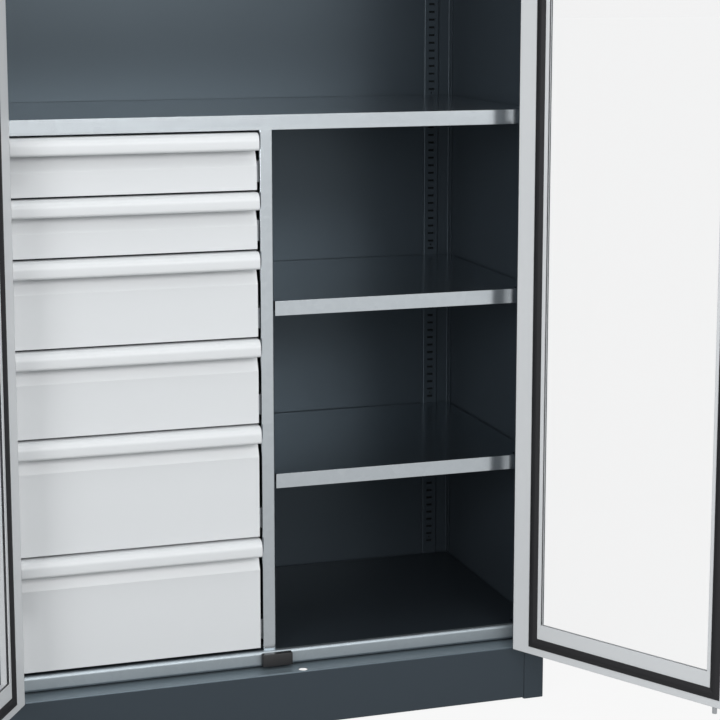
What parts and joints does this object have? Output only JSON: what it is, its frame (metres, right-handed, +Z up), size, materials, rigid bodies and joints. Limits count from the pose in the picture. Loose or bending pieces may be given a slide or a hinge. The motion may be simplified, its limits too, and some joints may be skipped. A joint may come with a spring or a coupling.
{
  "type": "heavy-duty cabinet",
  "caption": "Double-door steel workshop cabinet with windowed doors, a stack of drawers on slides, half-width shelves beside it and full-width shelves above.",
  "frame": {"origin": "on the ground, at the centre of the carcass and of its four floor-anchor holes", "axes": "+X to the right seen from the front, +Y to the back, +Z up"},
  "size_m": [1.3704, 0.9263, 1.95],
  "materials": {
    "anthracite_paint": "fine-textured powder coat",
    "light_grey_paint": "fine-textured powder coat",
    "galvanised_steel": "smooth zinc",
    "slide_steel": "zinc plated",
    "black_rubber": "matte",
    "clear_plastic": "clear",
    "black_plastic": "fine grain"
  },
  "bodies": {
    "carcass": {"right_side_panel": "anthracite_paint", "left_side_panel": "anthracite_paint", "back_panel": "anthracite_paint", "top_panel": "anthracite_paint", "plinth": "anthracite_paint", "stack_shelf": "galvanised_steel", "top_shelf": "galvanised_steel", "upper_half_shelf": "galvanised_steel", "lower_half_shelf": "galvanised_steel", "floor_panel": "anthracite_paint", "floor_rail": "galvanised_steel", "centre_divider": "galvanised_steel", "drawer_side_panel": "galvanised_steel", "right_slotted_strip": "anthracite_paint", "left_slotted_strip": "anthracite_paint", "shelf_clips": "galvanised_steel", "drawer_rails": "slide_steel", "hinge_pins": "anthracite_paint", "door_stop_block": "black_plastic", "anchor_plates": "anthracite_paint"},
    "drawer_1": {"drawer_1_front": "light_grey_paint", "drawer_1_box": "galvanised_steel"},
    "drawer_1_slides": {"drawer_1_middle_slides": "slide_steel"},
    "drawer_2": {"drawer_2_front": "light_grey_paint", "drawer_2_box": "galvanised_steel"},
    "drawer_2_slides": {"drawer_2_middle_slides": "slide_steel"},
    "drawer_3": {"drawer_3_front": "light_grey_paint", "drawer_3_box": "galvanised_steel"},
    "drawer_3_slides": {"drawer_3_middle_slides": "slide_steel"},
    "drawer_4": {"drawer_4_front": "light_grey_paint", "drawer_4_box": "galvanised_steel"},
    "drawer_4_slides": {"drawer_4_middle_slides": "slide_steel"},
    "drawer_5": {"drawer_5_front": "light_grey_paint", "drawer_5_box": "galvanised_steel"},
    "drawer_5_slides": {"drawer_5_middle_slides": "slide_steel"},
    "drawer_6": {"drawer_6_front": "light_grey_paint", "drawer_6_box": "galvanised_steel"},
    "drawer_6_slides": {"drawer_6_middle_slides": "slide_steel"},
    "right_door": {"right_door_skin": "light_grey_paint", "right_door_inner_frame": "light_grey_paint", "right_door_seal": "black_rubber", "right_door_pane": "clear_plastic", "right_hinge_leaves": "light_grey_paint", "lock_escutcheon": "black_plastic"},
    "left_door": {"left_door_skin": "light_grey_paint", "left_door_inner_frame": "light_grey_paint", "left_door_seal": "black_rubber", "left_door_pane": "clear_plastic", "left_hinge_leaves": "light_grey_paint", "left_door_lap_strip": "light_grey_paint"},
    "lock_handle": {"lock_lever": "black_plastic", "lock_cam": "slide_steel"},
    "upper_rod": {"upper_lock_rod": "slide_steel"},
    "lower_rod": {"lower_lock_rod": "slide_steel"}
  },
  "joints": [
    {"name": "right_door_hinge", "type": "hinge", "parent": "carcass", "child": "right_door", "pos_m": [0.4575, -0.256, 0.995], "axis": [0, 0, 1], "range_deg": [-120, 60]},
    {"name": "left_door_hinge", "type": "hinge", "parent": "carcass", "child": "left_door", "pos_m": [-0.4575, -0.256, 0.995], "axis": [0, 0, -1], "range_deg": [-120, 60]},
    {"name": "handle_turn", "type": "hinge", "parent": "right_door", "child": "lock_handle", "pos_m": [0.66605, -0.62923, 1], "axis": [0.866, 0.5, 0], "range_deg": [0, 90]},
    {"name": "upper_rod_slide", "type": "slide", "parent": "right_door", "child": "upper_rod", "axis": [0, 0, -1], "range_m": [0, 0.014]},
    {"name": "lower_rod_slide", "type": "slide", "parent": "right_door", "child": "lower_rod", "axis": [0, 0, 1], "range_m": [0, 0.014]},
    {"name": "drawer_1_slide", "type": "slide", "parent": "carcass", "child": "drawer_1", "axis": [0, -1, 0], "range_m": [0, 0.38]},
    {"name": "drawer_1_middle", "type": "slide", "parent": "carcass", "child": "drawer_1_slides", "axis": [0, -1, 0], "range_m": [0, 0.19]},
    {"name": "drawer_2_slide", "type": "slide", "parent": "carcass", "child": "drawer_2", "axis": [0, -1, 0], "range_m": [0, 0.38]},
    {"name": "drawer_2_middle", "type": "slide", "parent": "carcass", "child": "drawer_2_slides", "axis": [0, -1, 0], "range_m": [0, 0.19]},
    {"name": "drawer_3_slide", "type": "slide", "parent": "carcass", "child": "drawer_3", "axis": [0, -1, 0], "range_m": [0, 0.38]},
    {"name": "drawer_3_middle", "type": "slide", "parent": "carcass", "child": "drawer_3_slides", "axis": [0, -1, 0], "range_m": [0, 0.19]},
    {"name": "drawer_4_slide", "type": "slide", "parent": "carcass", "child": "drawer_4", "axis": [0, -1, 0], "range_m": [0, 0.38]},
    {"name": "drawer_4_middle", "type": "slide", "parent": "carcass", "child": "drawer_4_slides", "axis": [0, -1, 0], "range_m": [0, 0.19]},
    {"name": "drawer_5_slide", "type": "slide", "parent": "carcass", "child": "drawer_5", "axis": [0, -1, 0], "range_m": [0, 0.38]},
    {"name": "drawer_5_middle", "type": "slide", "parent": "carcass", "child": "drawer_5_slides", "axis": [0, -1, 0], "range_m": [0, 0.19]},
    {"name": "drawer_6_slide", "type": "slide", "parent": "carcass", "child": "drawer_6", "axis": [0, -1, 0], "range_m": [0, 0.38]},
    {"name": "drawer_6_middle", "type": "slide", "parent": "carcass", "child": "drawer_6_slides", "axis": [0, -1, 0], "range_m": [0, 0.19]}
  ],
  "couplings": [
    {"joint": "handle_turn", "follows": "upper_rod_slide", "rad_per_m": 112.19},
    {"joint": "lower_rod_slide", "follows": "upper_rod_slide", "ratio": 1},
    {"joint": "drawer_1_middle", "follows": "drawer_1_slide", "ratio": 0.5},
    {"joint": "drawer_2_middle", "follows": "drawer_2_slide", "ratio": 0.5},
    {"joint": "drawer_3_middle", "follows": "drawer_3_slide", "ratio": 0.5},
    {"joint": "drawer_4_middle", "follows": "drawer_4_slide", "ratio": 0.5},
    {"joint": "drawer_5_middle", "follows": "drawer_5_slide", "ratio": 0.5},
    {"joint": "drawer_6_middle", "follows": "drawer_6_slide", "ratio": 0.5}
  ]
}
